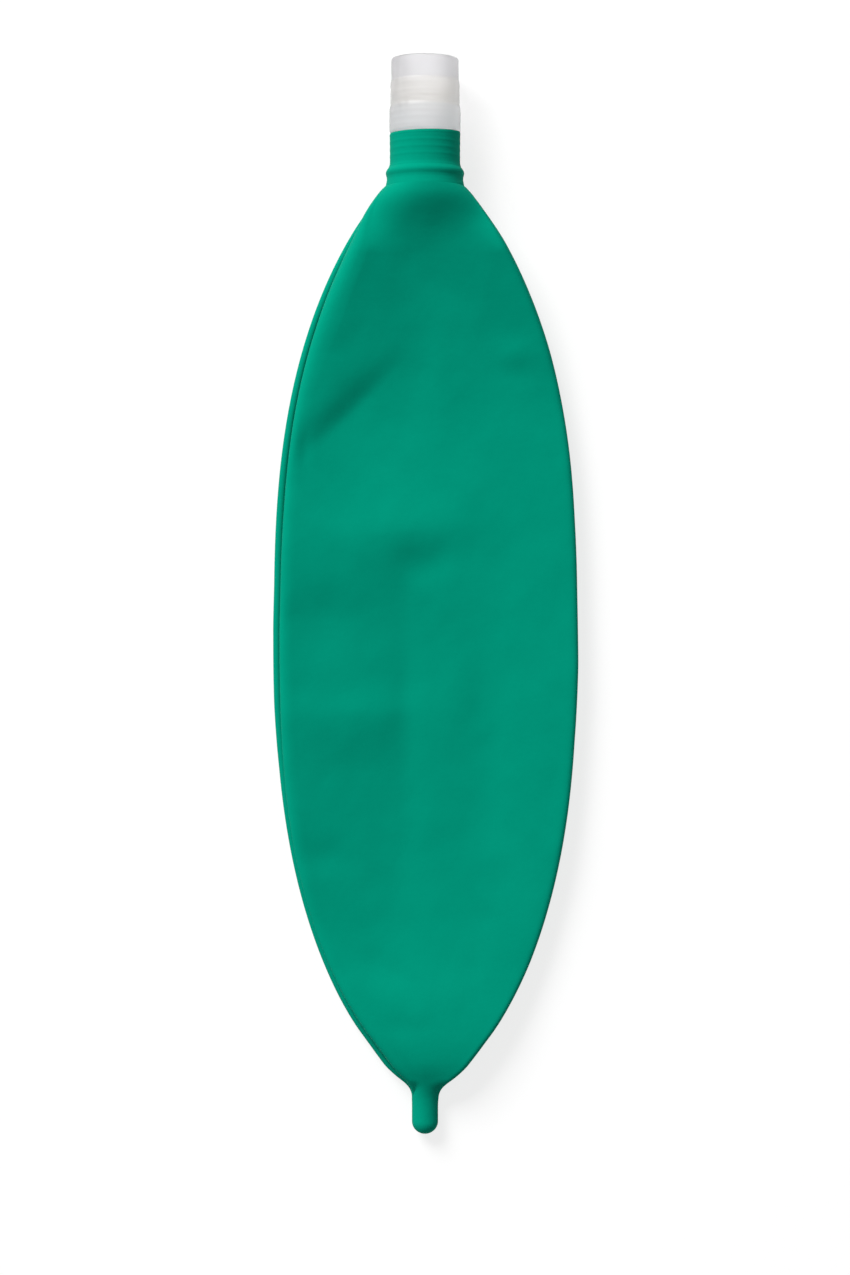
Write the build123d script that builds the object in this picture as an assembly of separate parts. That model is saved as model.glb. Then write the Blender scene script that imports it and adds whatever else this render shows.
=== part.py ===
"""Breathing bag with a push-in bushing, lying slack and folded on a flat surface.

Frame: the origin is the centre of the bushing's socket mouth. +Y points out of the
mouth, +X is to the bag's right and +Z is up. A "station" is a distance back from the
mouth, so a point at a station lies at y = -station. All sizes are in millimetres.
"""
import math
import os

from build123d import *

# Bushing: a female socket in front, a ribbed barrel, and a barbed stem inside the neck
seat_radius = 11.1
seat_length = 15.0
lumen_radius = 9.6
cuff_radius = 12.8
cuff_length = 8.6
upper_barrel_radius = 13.15
upper_barrel_length = 9.6
lower_barrel_radius = 13.95
lower_barrel_length = 9.4
rib_pitch = 2.7
rib_radius = 0.25
lip_rounding = 0.7
stem_end_margin = 2.4
barb_count = 3
barb_length = 3.0
barb_depth = 0.6

# Neck: a thin ridged sleeve round the stem, and the thick collar at its root
neck_bore = 12.5
stem_clearance = 0.06
sleeve_wall = 1.0
sleeve_length = 13.8
first_ridge = 4.5
ridge_count = 3
ridge_pitch = 2.6
ridge_radius = 0.25
collar_radius = 15.0
collar_length = 7.2
collar_rounding = 0.9
groove_offset = 2.9
groove_radius = 0.6

# Shoulder: the funnel from the collar to the folded body
shoulder_length = 26.0
shoulder_wall = 1.2

# Body: a front and a rear wall, with a pleat folded in between them at each side
body_length = 333.5
widest_from_collar = 168.4
widest_half_width = 57.6
neck_end_power = 2.75
neck_end_fullness = 0.87
tail_end_power = 2.55
tail_end_fullness = 0.80
fold_shift = 1.3
wall = 0.8
rear_fold_height = 6.4
front_fold_height = 7.4
valley_height = 11.0
tail_valley_height = 13.4
neck_settling_length = 30.0
tail_settling_length = 25.0
end_rounding = 3.0
pleat_depth = 25.0
leaf_gap = 0.4
leaf_end_margin = 6.0
window_end_margin = 16.0

# Tail: the root that the body narrows to, and the solid round nub
tail_root_half_width = 14.5
tail_root_height = 8.4
tail_root_length = 11.0
nub_radius = 5.1
nub_length = 15.6

# Air between pieces that move apart, and the narrowest flat on a section that is nearly round
joint_gap = 0.3
least_flat = 0.1

# Places and sizes that follow
stem_radius = neck_bore - stem_clearance
sleeve_radius = neck_bore + sleeve_wall
barrel_start = cuff_length + upper_barrel_length
sleeve_start = barrel_start + lower_barrel_length
collar_start = sleeve_start + sleeve_length
shoulder_start = collar_start + collar_length
stem_end = shoulder_start - stem_end_margin
body_start = shoulder_start + shoulder_length
widest_station = shoulder_start + widest_from_collar
body_end = shoulder_start + body_length
nub_start = body_end + tail_root_length
floor = -collar_radius
rear_leaf_top = floor + rear_fold_height
front_leaf_bottom = rear_leaf_top + leaf_gap
fold_top = front_leaf_bottom + front_fold_height
front_turn = front_fold_height / 2
rear_turn = rear_fold_height / 2
leaf_end = body_end - leaf_end_margin
window_end = body_end - window_end_margin
nub_axis = floor + nub_radius
nub_top = nub_axis + nub_radius


def half_width(station):
    """Half of the bag's flat width at a station between the collar and the tail root."""
    if station < widest_station:
        share = (widest_station - station) / (widest_station - shoulder_start)
        fullness = max(1 - share ** neck_end_power, 0) ** neck_end_fullness
        return collar_radius + (widest_half_width - collar_radius) * fullness
    share = min((station - widest_station) / (body_end - widest_station), 1)
    fullness = max(1 - share ** tail_end_power, 0) ** tail_end_fullness
    return tail_root_half_width + (widest_half_width - tail_root_half_width) * fullness


def middle_top(station):
    """Height of the front wall's middle line: it arches at the neck, and sags between the folds further on."""
    neck_rise = (2 * collar_radius - valley_height) * math.exp((shoulder_start - station) / neck_settling_length)
    tail_rise = (tail_valley_height - valley_height) * math.exp((station - body_end) / tail_settling_length)
    return floor + valley_height + neck_rise + tail_rise


def shoulder_side_top(station):
    """Height where the shoulder's round side meets its arched top."""
    share = (station - shoulder_start) / shoulder_length
    blend = (1 - share) ** 2 * (1 + 2 * share)
    return fold_top + (middle_top(shoulder_start) - 2 * least_flat - fold_top) * blend


def spread(start, end, count):
    """Evenly spaced stations from start to end."""
    return [start + (end - start) * number / (count - 1) for number in range(count)]


def lens(station, middle, reach, low, side_top, top):
    """An upright section across the bag: flat below, round at both sides, arched or sagging on top."""
    turn = (side_top - low) / 2
    left, right = middle - reach + turn, middle + reach - turn
    outline = [
        Line((left, low), (right, low)),
        ThreePointArc((right, low), (right + turn, low + turn), (right, side_top)),
        ThreePointArc((right, side_top), (middle, top), (left, side_top)),
        ThreePointArc((left, side_top), (left - turn, low + turn), (left, low)),
    ]
    across = Plane(origin=(0, -station, 0), x_dir=(1, 0, 0), z_dir=(0, -1, 0))
    return across * make_face(outline)


def fold_reach(station):
    """Half of the width that one stack of folds spans: each is shifted sideways to show beside the other."""
    return half_width(station) - fold_shift


def window_reach(station):
    """Half of the width left open between the pleats' inner folds."""
    return fold_reach(station) * (1 - pleat_depth / widest_half_width)


def plan_slab(middle, reach, margin, start, end, low, high):
    """A slab with the bag's outline drawn in by a margin, between two stations and two heights."""
    stations = spread(start, end, 25)
    right = [(middle + reach(s) - margin, -s) for s in stations]
    left = [(2 * middle - x, y) for x, y in reversed(right)]
    outline = [Spline(right), Line(right[-1], left[0]), Spline(left), Line(left[-1], right[0])]
    return extrude(Plane.XY.offset(low) * make_face(outline), high - low)


def tube(outer, inner, start, length):
    """A round tube along the neck's axis that runs back from a station."""
    lathe_work = Cylinder(outer, length) - Cylinder(inner, length)
    return Pos(0, -start - length / 2, 0) * Rot(90, 0, 0) * lathe_work


def bead(around, thickness, station):
    """A round bead standing on a cylinder along the neck's axis."""
    return Pos(0, -station, 0) * Rot(90, 0, 0) * Torus(around, thickness)


def make_bushing():
    profile = [
        (seat_radius, 0), (seat_radius, -seat_length), (lumen_radius, -seat_length),
        (lumen_radius, -stem_end), (stem_radius - barb_depth, -stem_end),
        (stem_radius - barb_depth, -sleeve_start), (lower_barrel_radius, -sleeve_start),
        (lower_barrel_radius, -barrel_start), (upper_barrel_radius, -barrel_start),
        (upper_barrel_radius, -cuff_length), (cuff_radius, -cuff_length), (cuff_radius, 0),
    ]
    body = revolve(make_face(Polyline(*profile, close=True)), Axis.Y)
    mouth_edges = body.edges().filter_by(GeomType.CIRCLE).group_by(Axis.Y)[-1]
    body = fillet(mouth_edges.sort_by(SortBy.RADIUS)[-1], lip_rounding)
    for start, length, radius in (
        (cuff_length, upper_barrel_length, upper_barrel_radius),
        (barrel_start, lower_barrel_length, lower_barrel_radius),
    ):
        for number in range(int(length / rib_pitch)):
            body += bead(radius, rib_radius, start + rib_pitch * (number + 0.5))
    for number in range(barb_count):
        middle = sleeve_start + (stem_end - sleeve_start) * (number + 0.5) / barb_count
        body += tube(stem_radius, lumen_radius, middle - barb_length / 2, barb_length)
    return body


def make_neck_sleeve():
    sleeve = tube(sleeve_radius, neck_bore, sleeve_start + joint_gap, sleeve_length - joint_gap)
    for number in range(ridge_count):
        sleeve += bead(sleeve_radius, ridge_radius, sleeve_start + first_ridge + ridge_pitch * number)
    return sleeve


def make_neck_collar():
    collar = tube(collar_radius, neck_bore, collar_start, collar_length)
    rim = collar.edges().filter_by(GeomType.CIRCLE).group_by(Axis.Y)[-1].sort_by(SortBy.RADIUS)[-1]
    return fillet(rim, collar_rounding) - bead(collar_radius, groove_radius, collar_start + groove_offset)


def shoulder_loft(inset):
    sections = []
    for station in spread(shoulder_start, body_start - joint_gap, 7):
        sections.append(lens(
            station, 0, half_width(station) - inset, floor + inset,
            shoulder_side_top(station) - inset, middle_top(station) - inset,
        ))
    return loft(sections)


def make_shoulder():
    return shoulder_loft(0) - shoulder_loft(shoulder_wall)


def front_section(station, inset):
    return lens(
        station, fold_shift, fold_reach(station) - inset,
        front_leaf_bottom + inset, fold_top - inset, middle_top(station) - inset,
    )


def make_front_wall():
    """The front wall, with its edges turned under to where the pleats' upper leaves begin."""
    rounding_start = body_end - end_rounding
    shell = loft([front_section(station, 0) for station in spread(body_start, rounding_start, 12)])
    end_sections = []
    for angle in (0, 25, 50, 75):
        station = rounding_start + end_rounding * math.sin(math.radians(angle))
        end_sections.append(front_section(station, end_rounding * (1 - math.cos(math.radians(angle)))))
    shell += loft(end_sections)
    shell -= loft([front_section(station, wall) for station in spread(body_start, rounding_start, 12)])
    return shell - plan_slab(
        fold_shift, fold_reach, front_turn - joint_gap, body_start, leaf_end + joint_gap,
        front_leaf_bottom, front_leaf_bottom + wall,
    )


def make_rear_wall():
    """The flat rear wall, with its edges turned up and over to where the pleats' lower leaves begin."""
    slab = plan_slab(-fold_shift, fold_reach, 0, body_start, body_end, floor, rear_leaf_top)
    slab = fillet(slab.edges().filter_by(GeomType.BSPLINE), rear_turn - least_flat)
    hollow = plan_slab(
        -fold_shift, fold_reach, wall, body_start, body_end - wall, floor + wall, rear_leaf_top - wall,
    )
    hollow = fillet(hollow.edges().filter_by(GeomType.BSPLINE), rear_turn - wall - least_flat)
    return slab - hollow - plan_slab(
        -fold_shift, fold_reach, rear_turn, body_start, leaf_end, rear_leaf_top - wall, rear_leaf_top,
    )


def make_pleats():
    """The two side pleats: an upper and a lower leaf, joined at the fold beside the open middle."""
    upper = plan_slab(
        fold_shift, fold_reach, front_turn, body_start, leaf_end,
        front_leaf_bottom, front_leaf_bottom + wall,
    )
    lower = plan_slab(
        -fold_shift, fold_reach, rear_turn, body_start, leaf_end,
        rear_leaf_top - wall, rear_leaf_top,
    )
    low, high = rear_leaf_top - wall, front_leaf_bottom + wall
    inner_fold = plan_slab(0, window_reach, -wall, body_start, window_end + wall, low, high)
    window = plan_slab(0, window_reach, 0, body_start, window_end, low, high)
    pair = upper + lower + inner_fold - window
    return split(pair, Plane.YZ, Keep.BOTTOM), split(pair, Plane.YZ, Keep.TOP)


def round_section(station, radius):
    """A nearly round section of the nub."""
    return lens(station, 0, radius, nub_axis - radius, nub_axis + radius - 2 * least_flat, nub_axis + radius)


def make_tail():
    """The narrowing root and the solid nub with a round end, lying on the same surface as the bag."""
    root = []
    for share in spread(0, 1, 6):
        narrowing = 1 - share * share * (3 - 2 * share)
        root.append(lens(
            body_end + joint_gap + (tail_root_length - joint_gap) * share, 0,
            nub_radius + (tail_root_half_width - nub_radius) * narrowing, floor,
            nub_top - 2 * least_flat + (rear_leaf_top - nub_top) * narrowing,
            nub_top + (floor + tail_root_height - nub_top) * narrowing,
        ))
    round_end_start = nub_start + nub_length - nub_radius
    shank = [round_section(nub_start, nub_radius), round_section(round_end_start, nub_radius)]
    round_end = []
    for angle in (0, 20, 40, 60, 80):
        along, across = math.sin(math.radians(angle)), math.cos(math.radians(angle))
        round_end.append(round_section(round_end_start + nub_radius * along, nub_radius * across))
    return loft(root) + loft(shank, ruled=True) + loft(round_end)


left_pleat, right_pleat = make_pleats()
pieces = {
    "bushing": make_bushing(),
    "neck_sleeve": make_neck_sleeve(),
    "neck_collar": make_neck_collar(),
    "shoulder": make_shoulder(),
    "front_wall": make_front_wall(),
    "rear_wall": make_rear_wall(),
    "left_pleat": left_pleat,
    "right_pleat": right_pleat,
    "tail": make_tail(),
}
os.makedirs("parts", exist_ok=True)
for name, piece in pieces.items():
    export_step(piece, f"parts/{name}.step")
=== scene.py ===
"""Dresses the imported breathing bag: soft folded skin, collared neck and white bushing, on a pale table."""
import math

import bpy
import numpy as np
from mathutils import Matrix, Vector


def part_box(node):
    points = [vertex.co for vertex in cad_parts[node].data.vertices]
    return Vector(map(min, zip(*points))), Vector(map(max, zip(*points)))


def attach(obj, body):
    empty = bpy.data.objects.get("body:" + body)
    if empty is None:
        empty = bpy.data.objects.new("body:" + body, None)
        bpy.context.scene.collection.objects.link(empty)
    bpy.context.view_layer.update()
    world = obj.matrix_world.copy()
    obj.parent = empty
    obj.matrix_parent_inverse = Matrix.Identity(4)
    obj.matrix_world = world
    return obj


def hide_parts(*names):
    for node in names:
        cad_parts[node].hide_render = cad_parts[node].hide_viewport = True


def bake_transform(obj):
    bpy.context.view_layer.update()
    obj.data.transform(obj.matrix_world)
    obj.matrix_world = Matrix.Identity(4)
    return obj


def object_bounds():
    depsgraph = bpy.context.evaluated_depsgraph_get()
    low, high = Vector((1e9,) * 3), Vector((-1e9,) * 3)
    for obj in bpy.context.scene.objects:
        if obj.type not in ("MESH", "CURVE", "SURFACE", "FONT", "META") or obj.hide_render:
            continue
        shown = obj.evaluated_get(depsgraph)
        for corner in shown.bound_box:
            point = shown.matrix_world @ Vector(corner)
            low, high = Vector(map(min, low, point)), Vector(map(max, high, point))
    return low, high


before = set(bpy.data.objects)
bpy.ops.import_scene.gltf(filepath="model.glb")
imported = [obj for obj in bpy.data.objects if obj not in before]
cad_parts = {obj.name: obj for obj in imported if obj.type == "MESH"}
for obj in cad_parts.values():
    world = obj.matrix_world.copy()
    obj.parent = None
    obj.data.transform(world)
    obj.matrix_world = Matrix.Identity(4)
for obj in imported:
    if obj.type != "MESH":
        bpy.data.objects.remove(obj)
cad_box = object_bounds()

# The bag is designed in millimetres on the CAD's frame. A station is a distance back from the
# socket's mouth, and a height is a distance above the table. MM turns them into metres.
MM = 0.001


def reach(node):
    """The first and last station of a CAD piece, in millimetres."""
    low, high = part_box(node)
    return -high.y / MM, -low.y / MM


table = cad_box[0].z / MM
collar_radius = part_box("neck_collar")[1].z / MM
widest_half_width = (cad_box[1].x - cad_box[0].x) / 2 / MM
collar_start = reach("neck_sleeve")[1]
shoulder_start = reach("neck_collar")[1]
body_start, body_end = reach("rear_wall")
stem_end = reach("bushing")[1]
nub_overhang = 1.3
tail_end = reach("tail")[1] + nub_overhang

# Outline of the bag lying flat
widest_station = shoulder_start + 168.4
neck_end_power, neck_end_fullness = 2.75, 0.87
tail_end_power, tail_end_fullness = 2.55, 0.80
tail_root_half_width = 14.5
tail_outline_blend = 10.0
nub_radius = 4.8

# Front folds, and the valley between them
front_turn = 3.7
front_leaf_height = 6.8
fold_corner_power = 0.7
deepest_fold_share = 0.7
valley_softness = 0.02

# Rear folds, which bulge a little over a crease in the rear pleat leaf
rear_leaf_height = 6.4
rear_bulb = 1.55
rear_bulb_turn = 140
rear_side = 3.0
right_rear_share = 0.45
rear_leaf_bunching = 2.2
rear_leaf_step = 3.0
crease_depth, crease_width = 0.65, 1.2

# Pleats: two leaves a small gap apart, joined well inside the bag
half_gap = (front_leaf_height - rear_leaf_height) / 2
gap_middle = (front_leaf_height + rear_leaf_height) / 2
open_share = 0.566
open_inset = 1.3
window_end = body_end - 16.0
window_closes_over = 40.0

# Lengths over which the folded section grows out of the round neck and closes to the round nub
crest_unfolds_over = body_start - shoulder_start
pleats_unfold_over = 15.0
root_rounds_after, root_rounds_over = 6.0, 8.5

# Lengths over which dents and swellings fade in after the collar and out before the tail
relief_starts_over, relief_ends_over = 12.0, 25.0

# Fine unevenness: waves of random direction and pitch, each with a height in proportion to its pitch
ripple_seed, ripple_count, ripple_share = 11, 26, 0.0008
shortest_ripple, longest_ripple = 9, 34

# How the skin follows the front wall as the bag fills
lift_starts_over, lift_ends_over = 85.0, 80.0
unlifted_end = 6.0
fold_lift, fold_lift_power = 0.6, 1.5
leaf_lift = 0.3

# Steps across each stretch of one side's skin, from the crest round to the middle of the underside,
# and the angles where the stretches meet once the section is round
crest_steps, front_fold_steps, leaf_steps = 40, 16, 12
inner_fold_steps, rear_fold_steps, under_steps = 6, 16, 16
stretch_steps = (
    crest_steps, front_fold_steps, leaf_steps, inner_fold_steps, leaf_steps, rear_fold_steps, under_steps)
stretch_angles = (90, 24, 3, 0.6, -0.6, -3, -24, -90)
upper_leaf_from = crest_steps + front_fold_steps
rear_fold_from = upper_leaf_from + leaf_steps + inner_fold_steps + leaf_steps
side_steps = sum(stretch_steps)

# Making the meshes: wall and steps in millimetres, the merging of doubles in metres, angles in degrees
skin_thickness = 0.8
shoulder_pitch, body_pitch, tail_pitch = 0.7, 1.15, 0.55
seam_step = 0.1
nub_round_steps, nub_round_end = 13, 88
line_samples = 11
merge_distance = 0.000002
smooth_up_to = 40

# Along the bag: the height of the front wall's valley, or of its arch near the neck
valley_heights = [
    (40, 30.0), (48.6, 30.0), (51, 30.2), (53, 29.8), (55, 29.1), (58, 27.6), (62, 25.5), (66, 23.6),
    (71, 21.7), (76, 20.2), (84, 18.3), (92, 16.7), (105, 14.6), (118, 13.1), (135, 12.0), (160, 11.3),
    (185, 10.7), (220, 9.9), (270, 9.2), (300, 8.7), (314, 8.8), (328, 9.5), (340, 10.8), (347, 11.9),
    (355, 13.3), (362, 14.1), (374, 14.8), (380, 14.9), (384, 14.4), (387, 13.2), (390, 11.9),
    (393.5, 10.6), (397, 9.9), (401, 9.7), (412, 9.7),
]
# Along the bag: where the valley runs, to the left of the middle where it is negative
valley_places = [
    (40, 0), (52, -3), (80, -5), (120, -5), (150, -2), (185, 1), (205, -4), (225, -8), (300, -8),
    (345, -10), (368, -6), (383, 0), (410, 0),
]
# Along the bag: half the height of each front fold
left_turns = [
    (40, 9.0), (50, 9.3), (56, 9.1), (62, 8.7), (66, 8.3), (76, 7.4), (84, 6.6), (97, 5.4), (110, 4.4),
    (126, 3.8), (235, 3.5), (260, 3.1), (310, 2.5), (330, 2.1), (345, 2.5), (355, 3.0), (365, 3.5),
    (374, 3.7), (383, 3.4), (388, 2.8), (393, 1.9), (398, 1.4), (412, 1.4),
]
right_turns = [
    (40, 9.0), (50, 9.5), (56, 9.6), (62, 9.0), (70, 8.0), (80, 6.9), (90, 5.9), (100, 5.0), (110, 4.2),
    (120, 3.5), (130, 3.1), (140, 3.0), (300, 2.9), (325, 2.5), (345, 2.6), (355, 3.0), (365, 3.5),
    (374, 3.8), (383, 3.7), (388, 3.1), (393, 2.0), (398, 1.4), (412, 1.4),
]
# Along the bag: how far in the round edge of each front fold reaches
left_depths = [
    (40, 6.0), (60, 7.0), (80, 9.0), (100, 9.0), (126, 5.5), (150, 4.2), (300, 4.0), (385, 4.0),
    (398, 2.5), (410, 2.5),
]
right_depths = [
    (40, 6.0), (60, 4.0), (80, 3.0), (385, 2.6), (410, 2.5),
]
# Along the bag: how far the rear fold shows beside the front one
rear_fold_shows = [
    (48.6, 0.0), (55, 0.5), (60, 1.3), (66, 2.1), (76, 2.6), (100, 2.9), (168, 3.0), (198, 2.7),
    (244, 2.6), (274, 1.9), (304, 1.6), (335, 1.8), (355, 2.3), (372, 2.9), (385, 3.2), (390, 2.4),
    (394, 0.7), (397, 0.0), (410, 0.0),
]
# Along the bag: how much fuller each side of the slack bag is than the even outline
left_fullness = [
    (40, 0.0), (60, 0.3), (200, 0.3), (215, 0.6), (245, 0.6), (270, 0.2), (360, 0.3), (380, 0.0),
    (410, 0.0),
]
right_fullness = [
    (40, 0.0), (60, 0.2), (110, 0.7), (150, 0.6), (175, 0.4), (205, 0.6), (230, 1.0), (260, 0.6),
    (300, 0.9), (345, 1.3), (360, 1.1), (374, 0.8), (384, 0.4), (394, 0.3), (398, 0.0), (410, 0.0),
]
# Half widths where the bag narrows to the nub
tail_outline = [
    (360, 31.4), (366, 27.9), (370, 25.3), (374, 22.4), (379, 18.9), (384, 15.2), (387.5, 11.5),
    (390.5, 7.6), (392, 6.3), (393.5, 5.5), (395.5, 5.1), (398, 5.0), (412, 5.0),
]
# Soft dents and swellings of the front wall: x, station, half length, half widths towards the neck and
# towards the tail, turn in degrees, height
undulations = [
    (-28, 135, 25, 7, 30, -45, -2.8),
    (-46, 147, 2.5, 8, 8, 0, -0.5),
    (35, 112, 8, 5, 5, 0, 0.5),
    (-12, 181, 28, 14, 22, -5, 2.4),
    (0, 191, 13, 8, 8, -12, -1.5),
    (-42, 214, 16, 10, 14, 0, -1.2),
    (-7, 250, 5, 40, 40, 0, -0.5),
    (23, 272, 13, 75, 60, 0, -1.3),
    (-27, 250, 26, 9, 14, 0, 1.7),
    (14, 240, 6, 14, 12, 0, 0.3),
    (-38, 304, 9, 6, 6, 0, -0.5),
    (-13, 347, 12, 5, 5, 35, -0.6),
    (-6, 369, 10, 4, 4, 0, -0.4),
    (6, 114, 6, 20, 20, 0, 0.3),
]


def ease(share):
    """Runs from 0 to 1 with level ends."""
    share = np.clip(share, 0, 1)
    return share * share * (3 - 2 * share)


def along(stations, values, softness=5.0):
    """A softly rounded line through (station, value) points."""
    points = np.array(values, float)
    shifts = np.linspace(-softness, softness, line_samples)
    return np.mean([np.interp(stations + shift, points[:, 0], points[:, 1]) for shift in shifts], axis=0)


def half_width(stations):
    """Half of the bag's flat width."""
    neck = np.clip((widest_station - stations) / (widest_station - shoulder_start), 0, 1)
    tail = np.clip((stations - widest_station) / (body_end - widest_station), 0, 1)
    neck_share = (1 - neck ** neck_end_power) ** neck_end_fullness
    tail_share = (1 - tail ** tail_end_power) ** tail_end_fullness
    neck_width = collar_radius + (widest_half_width - collar_radius) * neck_share
    tail_width = tail_root_half_width + (widest_half_width - tail_root_half_width) * tail_share
    root = ease((stations - tail_outline[0][0]) / tail_outline_blend)
    tail_width = tail_width * (1 - root) + along(stations, tail_outline, softness=1.2) * root
    return np.where(stations < widest_station, neck_width, tail_width)


def relief(x, stations):
    """Dents, swellings and fine unevenness of the front wall."""
    height = np.zeros(np.broadcast(x, stations).shape)
    for place, station, long, before, after, turn, rise in undulations:
        angle = math.radians(turn)
        lengthwise = (x - place) * math.cos(angle) + (stations - station) * math.sin(angle)
        crosswise = (stations - station) * math.cos(angle) - (x - place) * math.sin(angle)
        width = np.where(crosswise < 0, before, after)
        height = height + rise * np.exp(-(lengthwise / long) ** 2 - (crosswise / width) ** 2)
    dice = np.random.default_rng(ripple_seed)
    for _ in range(ripple_count):
        direction = dice.uniform(0, math.pi)
        pitch = dice.uniform(shortest_ripple, longest_ripple)
        phase = dice.uniform(0, 2 * math.pi)
        travel = x * math.cos(direction) + stations * math.sin(direction)
        height = height + ripple_share * pitch * np.sin(2 * math.pi * travel / pitch + phase)
    return height


def joined(*stretches):
    """One row of points from stretches that share their end points."""
    first = stretches[0]
    return np.concatenate([first] + [stretch[..., 1:] for stretch in stretches[1:]], axis=-1)


def straight(start, end, steps):
    """Evenly spaced values between two columns of values."""
    share = np.linspace(0, 1, steps + 1)
    return start[:, None] * (1 - share) + end[:, None] * share


def arc(start, end, steps):
    """Angles along an arc, in radians."""
    return np.radians(np.linspace(start, end, steps + 1))


def squarish(steps):
    """A fold's outline from its top round to its underside: a half round that is fuller at its corners."""
    turn = arc(90, -90, steps)
    outwards = np.cos(turn) ** fold_corner_power
    upwards = np.sign(np.sin(turn)) * np.abs(np.sin(turn)) ** fold_corner_power
    return outwards, upwards


def rear_half(rear_reach, inner):
    """The rear pleat leaf, the bulging rear fold and the flat underside: x and height arrays."""
    level = np.zeros_like(rear_reach)
    top = rear_leaf_height - rear_bulb
    bulb_steps = rear_fold_steps // 2
    bulb_arc = arc(rear_bulb_turn, 0, bulb_steps)
    side_arc = arc(0, -90, rear_fold_steps - bulb_steps)
    bulb_x = (rear_reach - rear_bulb)[:, None] + rear_bulb * np.cos(bulb_arc)
    bulb_height = top + rear_bulb * np.sin(bulb_arc) + level[:, None]
    side_x = (rear_reach - rear_side)[:, None] + rear_side * np.cos(side_arc)
    side_height = top + top * np.sin(side_arc) + level[:, None]

    leaf_share = 1 - (1 - np.linspace(0, 1, leaf_steps + 1)) ** rear_leaf_bunching
    leaf_x = inner[:, None] * (1 - leaf_share) + bulb_x[:, :1] * leaf_share
    away = bulb_x[:, :1] - leaf_x
    step_down = (rear_leaf_height - bulb_height[:, :1]) * np.exp(-(away / rear_leaf_step) ** 2)
    crease = crease_depth * away / crease_width * np.exp(1 - away / crease_width)
    leaf_height = rear_leaf_height - step_down - crease
    x = joined(leaf_x, bulb_x, side_x, straight(rear_reach - rear_side, level, under_steps))
    height = joined(leaf_height, bulb_height, side_height, straight(level, level, under_steps))
    return x, height


def edge(stations, side):
    """How far the bag lies out to one side, which is a little uneven."""
    fullness = left_fullness if side < 0 else right_fullness
    return half_width(stations) + along(stations, fullness, softness=2.0)


def front_fold(stations, side):
    """Where one side's front fold runs: its reach, depth, lower half, upper half and middle height."""
    front_reach = edge(stations, side) - (along(stations, rear_fold_shows) if side < 0 else 0)
    depth = along(stations, left_depths if side < 0 else right_depths, softness=3.0)
    depth = np.minimum(depth, deepest_fold_share * front_reach)
    turn = along(stations, left_turns if side < 0 else right_turns, softness=3.0)
    lower = np.minimum(turn, front_turn)
    return front_reach, depth, lower, 2 * turn - lower, front_leaf_height + lower


def rear_edge(stations, side):
    """How far the rear fold lies out to one side: on the right the front fold hides it."""
    return edge(stations, side) - (0 if side < 0 else right_rear_share * along(stations, rear_fold_shows))


def inner_edge(stations):
    """How far from the middle the two leaves of a pleat are joined."""
    closing = ease((window_end - stations) / window_closes_over)
    return open_share * (half_width(stations) - open_inset) * closing + half_gap


def top_height(x, stations):
    """Height of the front wall, which slopes from each fold to a valley, or arches near the neck."""
    middle = along(stations, valley_heights, softness=3.0)[:, None]
    valley = along(stations, valley_places)[:, None]
    bottom, top = math.sqrt(valley_softness), math.sqrt(1 + valley_softness)
    height = np.zeros(x.shape)
    for side in (-1, 1):
        front_reach, depth, lower, upper, centre = front_fold(stations, side)
        spread = np.clip(side * (x - valley) / ((front_reach - depth)[:, None] - side * valley), 0, 1)
        rounded = (np.sqrt(spread ** 2 + valley_softness) - bottom) / (top - bottom)
        fold_height = (centre + upper)[:, None]
        drop = np.where(middle > fold_height, (1 - spread ** 2) ** 2, 1 - rounded)
        share = np.where((x >= valley) == (side > 0), 1, 0)
        height = height + share * (fold_height + (middle - fold_height) * drop)
    return height


def one_side(stations, side):
    """Half of the skin's sections, from the crest to the middle of the underside: x and height arrays."""
    front_reach, depth, lower, upper, centre = front_fold(stations, side)
    inner = inner_edge(stations)
    level = np.zeros_like(stations)
    rear_x, rear_height = rear_half(rear_edge(stations, side), inner)
    fold_x, fold_height = squarish(front_fold_steps)
    inner_arc = arc(90, 270, inner_fold_steps)
    crest_x = straight(level, front_reach - depth, crest_steps)
    folded_x = joined(
        crest_x,
        (front_reach - depth)[:, None] + depth[:, None] * fold_x,
        straight(front_reach - depth, inner, leaf_steps),
        inner[:, None] + half_gap * np.cos(inner_arc),
        rear_x,
    )
    folded_height = joined(
        top_height(side * crest_x, stations),
        centre[:, None] + np.where(fold_height > 0, upper[:, None], lower[:, None]) * fold_height,
        straight(centre - lower, level + front_leaf_height, leaf_steps),
        gap_middle + half_gap * np.sin(inner_arc) + level[:, None],
        rear_height,
    )

    stretches = zip(stretch_angles, stretch_angles[1:], stretch_steps)
    angles = joined(*[arc(start, end, steps) for start, end, steps in stretches])
    ball_share = np.clip((stations - tail_end + nub_radius) / nub_radius, 0, 1)
    ball = np.sqrt(1 - ball_share ** 2)[:, None]
    round_x = edge(stations, side)[:, None] * ball * np.cos(angles)
    height = along(stations, valley_heights, softness=2.0)[:, None]
    round_height = height / 2 * (1 + ball * np.sin(angles))

    columns = np.arange(side_steps + 1)
    unfolds_over = np.interp(
        columns, [crest_steps, upper_leaf_from], [crest_unfolds_over, pleats_unfold_over])
    neck_roundness = 1 - ease((stations - shoulder_start)[:, None] / unfolds_over)
    tail_roundness = ease((stations - body_end - root_rounds_after) / root_rounds_over)[:, None]
    roundness = neck_roundness + tail_roundness
    across = side * (folded_x * (1 - roundness) + round_x * roundness)
    up = folded_height * (1 - roundness) + round_height * roundness

    fade_in = ease((stations - shoulder_start) / relief_starts_over)
    fade_out = ease((body_end - stations) / relief_ends_over)
    on_front = ease((upper_leaf_from - columns) / front_fold_steps) * (fade_in * fade_out)[:, None]
    return across, up + relief(across, stations[:, None]) * on_front


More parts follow.
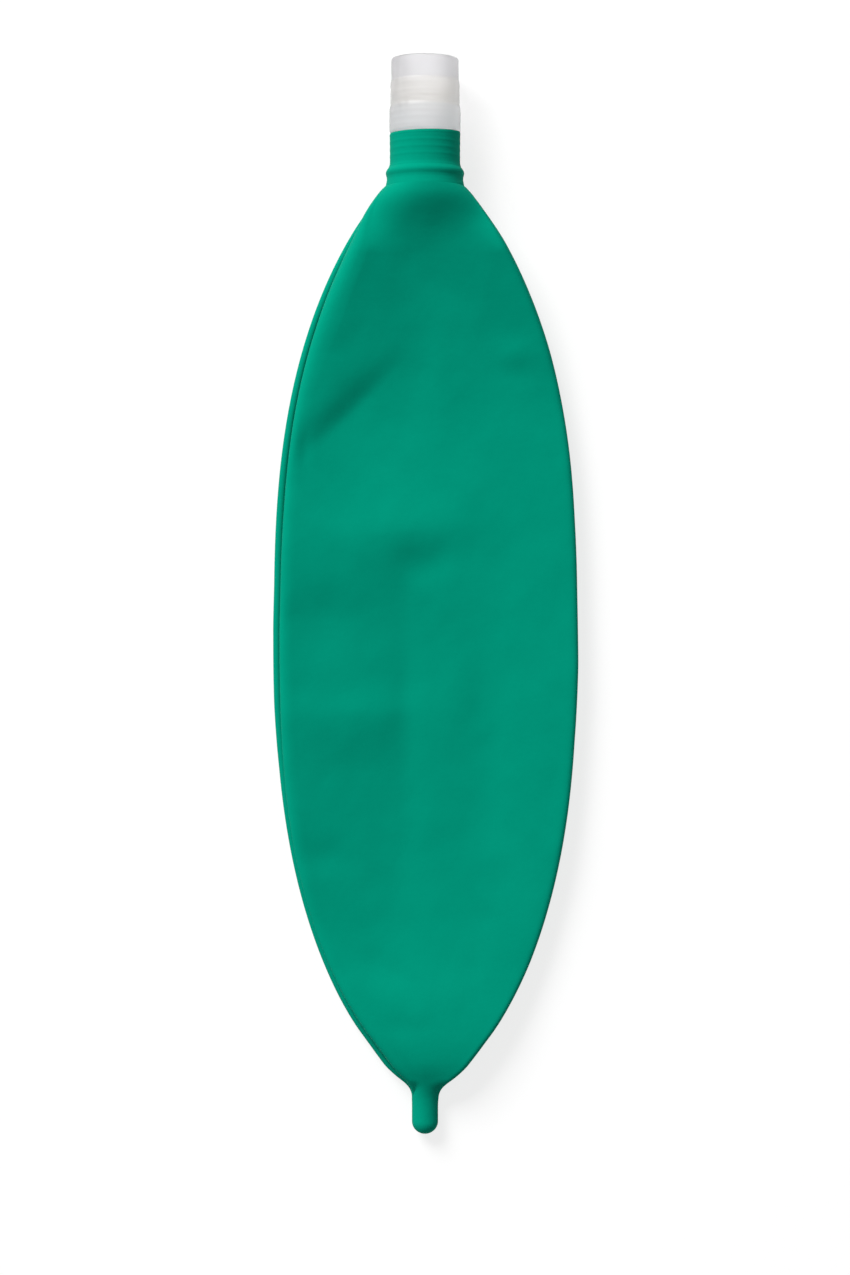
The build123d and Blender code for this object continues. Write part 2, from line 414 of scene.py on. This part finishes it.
def skin_sections(stations):
    """Closed sections of the whole skin, clockwise from the crest as the neck's end sees them."""
    right_x, right_height = one_side(stations, 1)
    left_x, left_height = one_side(stations, -1)
    x = np.concatenate([right_x, left_x[:, -2:0:-1]], axis=1)
    height = np.concatenate([right_height, left_height[:, -2:0:-1]], axis=1)
    y = np.broadcast_to(-stations[:, None], x.shape)
    return np.stack([x, y, height + table], axis=2) * MM


def close_steps(start, end, pitch):
    """Evenly spaced stations with a narrow first and last step, so that shading runs on across a seam."""
    count = max(3, round((end - start) / pitch))
    inner = np.linspace(start, end, count + 1)
    return np.concatenate([[start, start + seam_step], inner[1:-1], [end - seam_step, end]])


# One grid of points for the whole skin: a row for each station, from the collar to the nub's round tip
shoulder_rows = close_steps(shoulder_start, body_start, shoulder_pitch)
body_rows = close_steps(body_start, body_end, body_pitch)
ball_start = tail_end - nub_radius
ball_rows = ball_start + nub_radius * np.sin(arc(0, nub_round_end, nub_round_steps))
tail_rows = np.concatenate([close_steps(body_end, ball_start, tail_pitch)[:-2], ball_rows])
stations = np.concatenate([shoulder_rows, body_rows[1:], tail_rows[1:]])
skin_points = skin_sections(stations)
around = skin_points.shape[1]
flat_points = skin_points.reshape(-1, 3)


def grid_faces(rows, columns, closed=False):
    """Four-sided faces between neighbouring rows and columns of the skin's points, facing outwards."""
    pairs = list(zip(columns, columns[1:]))
    if closed:
        pairs.append((columns[-1], columns[0]))
    faces = []
    for row, following in zip(rows, rows[1:]):
        for column, beside in pairs:
            faces.append((row * around + column, following * around + column,
                          following * around + beside, row * around + beside))
    return faces


def skin_piece(name, faces):
    """A rubber wall made from faces between the skin's points, given its thickness inwards."""
    used = sorted({corner for face in faces for corner in face})
    renumbered = {corner: number for number, corner in enumerate(used)}
    places = [tuple(flat_points[corner]) for corner in used]
    mesh = bpy.data.meshes.new(name)
    mesh.from_pydata(places, [], [tuple(renumbered[corner] for corner in face) for face in faces])
    piece = bpy.data.objects.new(name, mesh)
    bpy.context.collection.objects.link(piece)
    bpy.ops.object.select_all(action="DESELECT")
    bpy.context.view_layer.objects.active = piece
    piece.select_set(True)
    bpy.ops.object.mode_set(mode="EDIT")
    bpy.ops.mesh.select_all(action="SELECT")
    bpy.ops.mesh.remove_doubles(threshold=merge_distance)
    bpy.ops.mesh.select_all(action="DESELECT")
    bpy.ops.object.mode_set(mode="OBJECT")
    wall = piece.modifiers.new("wall", "SOLIDIFY")
    wall.thickness = skin_thickness * MM
    wall.offset = -1
    bpy.ops.object.modifier_apply(modifier=wall.name)
    bpy.ops.object.shade_smooth_by_angle(angle=math.radians(smooth_up_to))
    return piece


# The skin is cut along the same seams as the solids, so that neighbours share their edge points
shoulder_last = len(shoulder_rows) - 1
body_last = shoulder_last + len(body_rows) - 1
tail_last = len(stations) - 1
shoulder_band = range(0, shoulder_last + 1)
body_band = range(shoulder_last, body_last + 1)
tail_band = range(body_last, tail_last + 1)
right_edge, left_edge = upper_leaf_from, around - upper_leaf_from
right_rear, left_rear = rear_fold_from, around - rear_fold_from
front_columns = list(range(left_edge, around)) + list(range(0, right_edge + 1))

shoulder = skin_piece("soft_shoulder", grid_faces(shoulder_band, range(around), closed=True))
front = skin_piece("soft_front_wall", grid_faces(body_band, front_columns))
rear = skin_piece("soft_rear_wall", grid_faces(body_band, range(right_rear, left_rear + 1)))
right_pleat = skin_piece("soft_right_pleat", grid_faces(body_band, range(right_edge, right_rear + 1)))
left_pleat = skin_piece("soft_left_pleat", grid_faces(body_band, range(left_rear, left_edge + 1)))
nub_tip = [tuple(tail_last * around + column for column in range(around))]
tail = skin_piece("soft_tail", grid_faces(tail_band, range(around), closed=True) + nub_tip)


def turned(name, profile, sides=96, sharp=smooth_up_to):
    """A ring turned about the neck's axis: the profile is a closed loop of (radius, station) corners."""
    radius, station = profile[0]
    bpy.ops.object.select_all(action="DESELECT")
    bpy.ops.mesh.primitive_circle_add(
        vertices=sides, radius=radius * MM, location=(0, -station * MM, 0), rotation=(math.pi / 2, 0, 0))
    piece = bpy.context.object
    piece.name = name
    bpy.ops.object.transform_apply(location=True, rotation=True, scale=True)
    bpy.ops.object.mode_set(mode="EDIT")
    bpy.ops.mesh.select_all(action="SELECT")
    for following_radius, following_station in profile[1:] + profile[:1]:
        bpy.ops.mesh.extrude_edges_move(
            TRANSFORM_OT_translate={"value": (0, (station - following_station) * MM, 0)})
        share = following_radius / radius
        bpy.ops.transform.resize(value=(share, 1, share), center_override=(0, -following_station * MM, 0))
        radius, station = following_radius, following_station
    bpy.ops.mesh.select_all(action="SELECT")
    bpy.ops.mesh.remove_doubles(threshold=merge_distance)
    bpy.ops.mesh.normals_make_consistent(inside=False)
    bpy.ops.mesh.select_all(action="DESELECT")
    bpy.ops.object.mode_set(mode="OBJECT")
    bpy.ops.object.shade_smooth_by_angle(angle=math.radians(sharp))
    return piece


def rounded_line(points, softness, pitch=0.2):
    """A softly rounded outline through (station, radius) points, as (radius, station) corners."""
    first, last = points[0][0], points[-1][0]
    count = max(4, round((last - first) / pitch))
    places = np.linspace(first, last, count + 1)
    radii = along(places, points, softness)
    return [(float(radius), float(place)) for radius, place in zip(radii, places)]


# Neck sleeve: a thin cuff with a rolled mouth, a slight waist and faint moulded ridges
neck_bore = 12.56
mouth_start = 27.9
sleeve_line = [
    (27.7, 13.2), (28.0, 13.42), (28.7, 13.48), (29.3, 13.38), (30.0, 13.4), (31.4, 13.36),
    (32.1, 13.44), (32.8, 13.34), (34.0, 13.34), (34.7, 13.42), (35.4, 13.32), (36.6, 13.32),
    (37.3, 13.4), (38.0, 13.32), (39.4, 13.36), (40.4, 13.46), (41.4, 13.8),
]
sleeve_profile = [(neck_bore, mouth_start)] + rounded_line(sleeve_line, softness=0.35)
sleeve_profile += [(neck_bore, collar_start)]
sleeve = turned("soft_neck_sleeve", sleeve_profile)

# The sleeve's soft mouth sits a little unevenly round the bushing: further back at the top and at the left
mouth_end, mouth_fades_over = 31.0, 3.0
mouth_slip, slip_upwards, slip_leftwards = 0.4, 0.45, 0.3
for corner in sleeve.data.vertices:
    across, back, up = corner.co / MM
    slip = mouth_slip + (slip_upwards * up - slip_leftwards * across) / neck_bore
    corner.co.y -= slip * MM * float(ease((mouth_end + back) / mouth_fades_over))

# Collar: a raised bead, a groove and the rise into the shoulder
collar_line = [
    (41.4, 13.8), (42.0, 14.25), (42.8, 14.78), (43.6, 14.92), (44.3, 14.78), (45.0, 14.55),
    (46.0, 14.5), (47.2, 14.7), (48.2, 14.93), (48.6, 15.0),
]
collar_profile = [(neck_bore, collar_start)] + rounded_line(collar_line, softness=0.25)
collar_profile += [(neck_bore, shoulder_start)]
collar = turned("soft_neck_collar", collar_profile)


# Bushing: a smooth cuff, two barrel steps of faint ribs, and a barbed stem inside the neck
seat_radius, seat_length, seat_edge = 11.1, 15.0, 0.3
lumen_radius, stem_radius, stem_tip_radius = 9.6, 12.44, 11.54
rib_top, rib_height = 1.0, 0.07
barb_start, barb_pitch = 28.8, 5.8
# Along each barb, and how far in from the stem's full radius
barb_shape = [(0, 0), (1.2, 0), (5.4, 0.6), (5.7, 0.6)]


def ribs(first, pitch, width, radius):
    """Three faint rounded ribs on a barrel, as (station, radius) points."""
    line = []
    for place in (first, first + pitch, first + 2 * pitch):
        line += [(place, radius), (place + rib_top, radius + rib_height), (place + width, radius)]
    return line


cuff_line = [(0.0, 12.35), (0.35, 12.72), (0.8, 12.80), (8.1, 12.80), (8.5, 12.84), (8.6, 12.98)]
step_line = [(17.9, 13.12), (18.4, 13.34), (19.2, 13.50)]
end_line = [(27.3, 13.52), (27.7, 13.42), (28.3, 12.95), (28.6, stem_radius)]
first_ribs = ribs(first=9.3, pitch=3.0, width=2.1, radius=13.10)
second_ribs = ribs(first=19.8, pitch=2.6, width=2.0, radius=13.50)
barrel_line = cuff_line + first_ribs + step_line + second_ribs + end_line
bushing_profile = [(seat_radius, seat_edge), (seat_radius + seat_edge, 0.0)]
bushing_profile += rounded_line(barrel_line, softness=0.12)
for barb in (barb_start, barb_start + barb_pitch, barb_start + 2 * barb_pitch):
    bushing_profile += [(stem_radius - inwards, barb + further) for further, inwards in barb_shape]
bushing_profile += [(stem_tip_radius, stem_end), (lumen_radius, stem_end)]
bushing_profile += [(lumen_radius, seat_length), (seat_radius, seat_length)]
bushing = turned("ribbed_bushing", bushing_profile, sides=128, sharp=50)


def follow(piece, share=None):
    """Bakes a piece's placement into its mesh, and works out its share of the motion where given, which is
    not kept.
    """
    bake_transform(piece)
    if share is not None:
        places = np.empty(len(piece.data.vertices) * 3)
        piece.data.vertices.foreach_get("co", places)
        places = places.reshape(-1, 3) / MM
        shares = np.clip(share(places[:, 0], -places[:, 1], places[:, 2] - table), 0, 1)


def middle_part(stations):
    """How freely each station lifts: not at all at the shoulder and the tail."""
    tail_side = ease((body_end - unlifted_end - stations) / lift_ends_over)
    return ease((stations - body_start) / lift_starts_over) * tail_side


def fold_lips(stations):
    """How far out the front wall reaches before its folds, at the left and at the right."""
    return [np.subtract(*front_fold(stations, side)[:2]) for side in (-1, 1)]


def front_share(x, stations, height):
    """The front wall lifts most along its middle, and its folds a little less."""
    spread = np.clip(np.abs(x) / np.where(x < 0, *fold_lips(stations)), 0, 1)
    return middle_part(stations) * (fold_lift + (1 - fold_lift) * (1 - spread ** 2) ** fold_lift_power)


def pleat_share(x, stations, height):
    """A pleat opens like a book: its front leaf follows the front wall and its rear leaf stays below."""
    inner = inner_edge(stations)
    bulb_width = rear_bulb * (1 - math.cos(math.radians(rear_bulb_turn)))
    rear_lips = [rear_edge(stations, side) - bulb_width for side in (-1, 1)]
    upper_leaf = np.clip((np.abs(x) - inner) / (np.where(x < 0, *fold_lips(stations)) - inner), 0, 1)
    lower_leaf = np.clip((np.abs(x) - inner) / (np.where(x < 0, *rear_lips) - inner), 0, 1)
    opening = np.where(height > gap_middle, upper_leaf, -lower_leaf)
    return middle_part(stations) * (leaf_lift + leaf_lift * opening)


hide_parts("shoulder")
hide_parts("front_wall")
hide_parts("rear_wall")
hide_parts("right_pleat")
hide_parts("left_pleat")
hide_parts("tail")
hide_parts("neck_sleeve")
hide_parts("neck_collar")
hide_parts("bushing")
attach(rear, "bag")
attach(sleeve, "neck")
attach(collar, "neck")
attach(bushing, "bushing")
follow(shoulder)
for piece, share in ((front, front_share), (right_pleat, pleat_share), (left_pleat, pleat_share)):
    follow(piece, share)
follow(tail)


class Wire:
    """A value that varies over a surface. Arithmetic on it adds Math nodes to its finish."""

    def __init__(self, finish, socket):
        self.finish = finish
        self.socket = socket

    def maths(self, operation, *values):
        return self.finish.node("Math", {"operation": operation}, dict(enumerate(values)))

    def __add__(self, other):
        return self.maths("ADD", self, other)

    def __sub__(self, other):
        return self.maths("SUBTRACT", self, other)

    def __rsub__(self, other):
        return self.maths("SUBTRACT", other, self)

    def __mul__(self, other):
        return self.maths("MULTIPLY", self, other)

    __radd__ = __add__
    __rmul__ = __mul__


class Finish:
    """The look of a material or of the room round the bag, built from nodes."""

    def __init__(self, owner, ending="OutputMaterial"):
        owner.use_nodes = True
        self.owner = owner
        self.ending = ending
        self.tree = owner.node_tree
        self.tree.nodes.clear()

    def node(self, kind, settings=None, sockets=None, output=0):
        """Adds a shader node: its settings first, then the values or wires of its sockets."""
        made = self.tree.nodes.new("ShaderNode" + kind)
        for setting, value in (settings or {}).items():
            setattr(made, setting, value)
        for name, value in (sockets or {}).items():
            if isinstance(value, Wire):
                self.tree.links.new(value.socket, made.inputs[name])
            else:
                made.inputs[name].default_value = value
        return Wire(self, made.outputs[output])

    def noise(self, place, scale, detail, roughness):
        """A cloudy pattern in space."""
        return self.node("TexNoise", sockets={
            "Vector": place, "Scale": scale, "Detail": detail, "Roughness": roughness})

    def tint(self, share, low, high, blend_type="MIX"):
        """Runs from one colour to another, or blends them another way."""
        settings = {"data_type": "RGBA", "blend_type": blend_type}
        return self.node("Mix", settings, {0: share, 6: low, 7: high}, output=2)

    def step(self, value, start, end):
        """Runs from 0 to 1 as a value goes from its start to its end."""
        return self.node("MapRange", sockets={"Value": value, "From Min": start, "From Max": end})

    def in_view(self):
        """1 for what the camera sees straight, mirrored in a gloss or through clear plastic."""
        seen = self.node("LightPath", output="Is Camera Ray")
        mirrored = self.node("LightPath", output="Is Glossy Ray")
        through = self.node("LightPath", output="Is Transmission Ray")
        return seen + mirrored + through

    def done(self, shader):
        """Joins a shader to the output."""
        output = self.tree.nodes.new("ShaderNode" + self.ending)
        self.tree.links.new(shader.socket, output.inputs["Surface"])
        return self.owner


def green_rubber():
    """Satin dip-moulded rubber: a cloudy tone, a faint bloom and a fine soft grain."""
    finish = Finish(bpy.data.materials.new("green_dipped_rubber"))
    place = finish.node("TexCoord", output="Object")
    clouds = finish.noise(place, scale=38.0, detail=3.0, roughness=0.5)
    specks = finish.noise(place, scale=520.0, detail=2.0, roughness=0.6)
    grain = finish.noise(place, scale=1500.0, detail=3.0, roughness=0.65)
    ripple = finish.noise(place, scale=150.0, detail=2.0, roughness=0.5)
    tone = (clouds - 0.5) * 0.9 + (specks - 0.5) * 0.35 + 0.5
    colour = finish.tint(tone, (0.0, 0.262, 0.168, 1), (0.001, 0.304, 0.197, 1))
    sheen = (clouds - 0.5) * 0.10 + (specks - 0.5) * 0.08 + 0.62
    unevenness = grain * 0.25 + specks * 0.35 + ripple
    bump = finish.node("Bump", sockets={"Strength": 0.22, "Distance": 0.00035, "Height": unevenness})
    return finish.done(finish.node("BsdfPrincipled", sockets={
        "Base Color": colour, "Roughness": sheen, "Normal": bump, "Specular IOR Level": 0.01,
        "Specular Tint": (0.02, 1.0, 0.83, 1)}))


def milky_plastic():
    """Milky moulded polymer: a cooler cuff, a warm and a cool barrel step, and faint flow lines."""
    finish = Finish(bpy.data.materials.new("milky_moulded_polymer"))
    place = finish.node("TexCoord", output="Object")
    clouds = finish.noise(place, scale=60.0, detail=2.0, roughness=0.5)
    stretched = finish.node("Mapping", sockets={"Vector": place, "Scale": (60.0, 900.0, 60.0)})
    flow_lines = finish.noise(stretched, scale=1.0, detail=2.0, roughness=0.5)
    along_axis = finish.node("SeparateXYZ", sockets={"Vector": place}, output="Y")
    on_cuff = finish.step(along_axis, start=-0.0090, end=-0.0080)
    on_first_step = finish.step(along_axis, start=-0.0190, end=-0.0180)
    barrel = finish.tint(on_first_step, (0.845, 0.852, 0.862, 1), (0.89, 0.878, 0.862, 1))
    wall = finish.tint(on_cuff, barrel, (0.885, 0.88, 0.893, 1))
    tone = (clouds - 0.5) * 0.8 + (flow_lines - 0.5) * 0.25 + 0.5
    bloom = finish.tint(tone, (0.96, 0.96, 0.96, 1), (1.0, 1.0, 1.0, 1))
    colour = finish.tint(1.0, wall, bloom, "MULTIPLY")
    sheen = (clouds - 0.5) * 0.1 + 0.47
    unevenness = flow_lines + clouds
    bump = finish.node("Bump", sockets={"Strength": 0.08, "Distance": 0.0003, "Height": unevenness})
    return finish.done(finish.node("BsdfPrincipled", sockets={
        "Base Color": colour, "Roughness": sheen, "Normal": bump,
        "Transmission Weight": 0.88, "IOR": 1.45}))


def pale_table():
    """A white table that keeps the soft shadow and fades into the background further off."""
    finish = Finish(bpy.data.materials.new("pale_table"))
    place = finish.node("TexCoord", output="Object")
    distance = finish.node("VectorMath", {"operation": "LENGTH"}, {0: place}, output="Value")
    fading = finish.node("MapRange", {"interpolation_type": "SMOOTHSTEP"}, {
        "Value": distance, "From Min": 0.35, "From Max": 1.1, "To Min": 0.74, "To Max": 1.0})
    matt = finish.node("BsdfDiffuse", sockets={"Color": (0.9, 0.9, 0.9, 1)})
    glow = finish.node("Emission", sockets={"Color": (1, 1, 1, 1), "Strength": 1.07})
    return finish.done(finish.node("MixShader", sockets={0: finish.in_view() * fading, 1: matt, 2: glow}))


def pale_room():
    """Faint even light from all round, in front of a white background."""
    finish = Finish(bpy.data.worlds.new("studio"), "OutputWorld")
    light = finish.node("Background", sockets={"Color": (1, 1, 1, 1), "Strength": 0.2})
    backdrop = finish.node("Background", sockets={"Color": (1, 1, 1, 1), "Strength": 1.0})
    return finish.done(finish.node("MixShader", sockets={0: finish.in_view(), 1: light, 2: backdrop}))


rubber = green_rubber()
plastic = milky_plastic()
for piece in (shoulder, front, rear, right_pleat, left_pleat, tail, sleeve, collar):
    piece.data.materials.clear()
    piece.data.materials.append(rubber)
bushing.data.materials.clear()
bushing.data.materials.append(plastic)

bag_middle = -0.2
bpy.ops.mesh.primitive_plane_add(size=6, location=(0, bag_middle, table * MM))
floor = bpy.context.object
floor.name = "table_top"
floor.data.materials.append(pale_table())
bpy.context.scene.world = pale_room()


def lamp(name, place, aim, size, power):
    """A square soft box that faces a point."""
    bpy.ops.object.light_add(type="AREA", location=place)
    light = bpy.context.object
    light.name = name
    light.data.shape = "SQUARE"
    light.data.size = size
    light.data.energy = power
    direction = Vector(aim) - Vector(place)
    light.rotation_euler = direction.to_track_quat("-Z", "Y").to_euler()


lamp("soft_box", place=(-3.1, 4.55, 4.44), aim=(0, bag_middle, 0), size=3.24, power=680)

view_middle, view_distance, view_height = -0.2198, 1.2, 0.4845
bpy.ops.object.camera_add(location=(0, view_middle, view_distance), rotation=(0, 0, 0))
camera = bpy.context.object
camera.name = "overhead_camera"
camera.data.sensor_fit = "VERTICAL"
camera.data.angle = 2 * math.atan(view_height / 2 / view_distance)
bpy.context.scene.camera = camera
bpy.context.scene.view_settings.view_transform = "Standard"
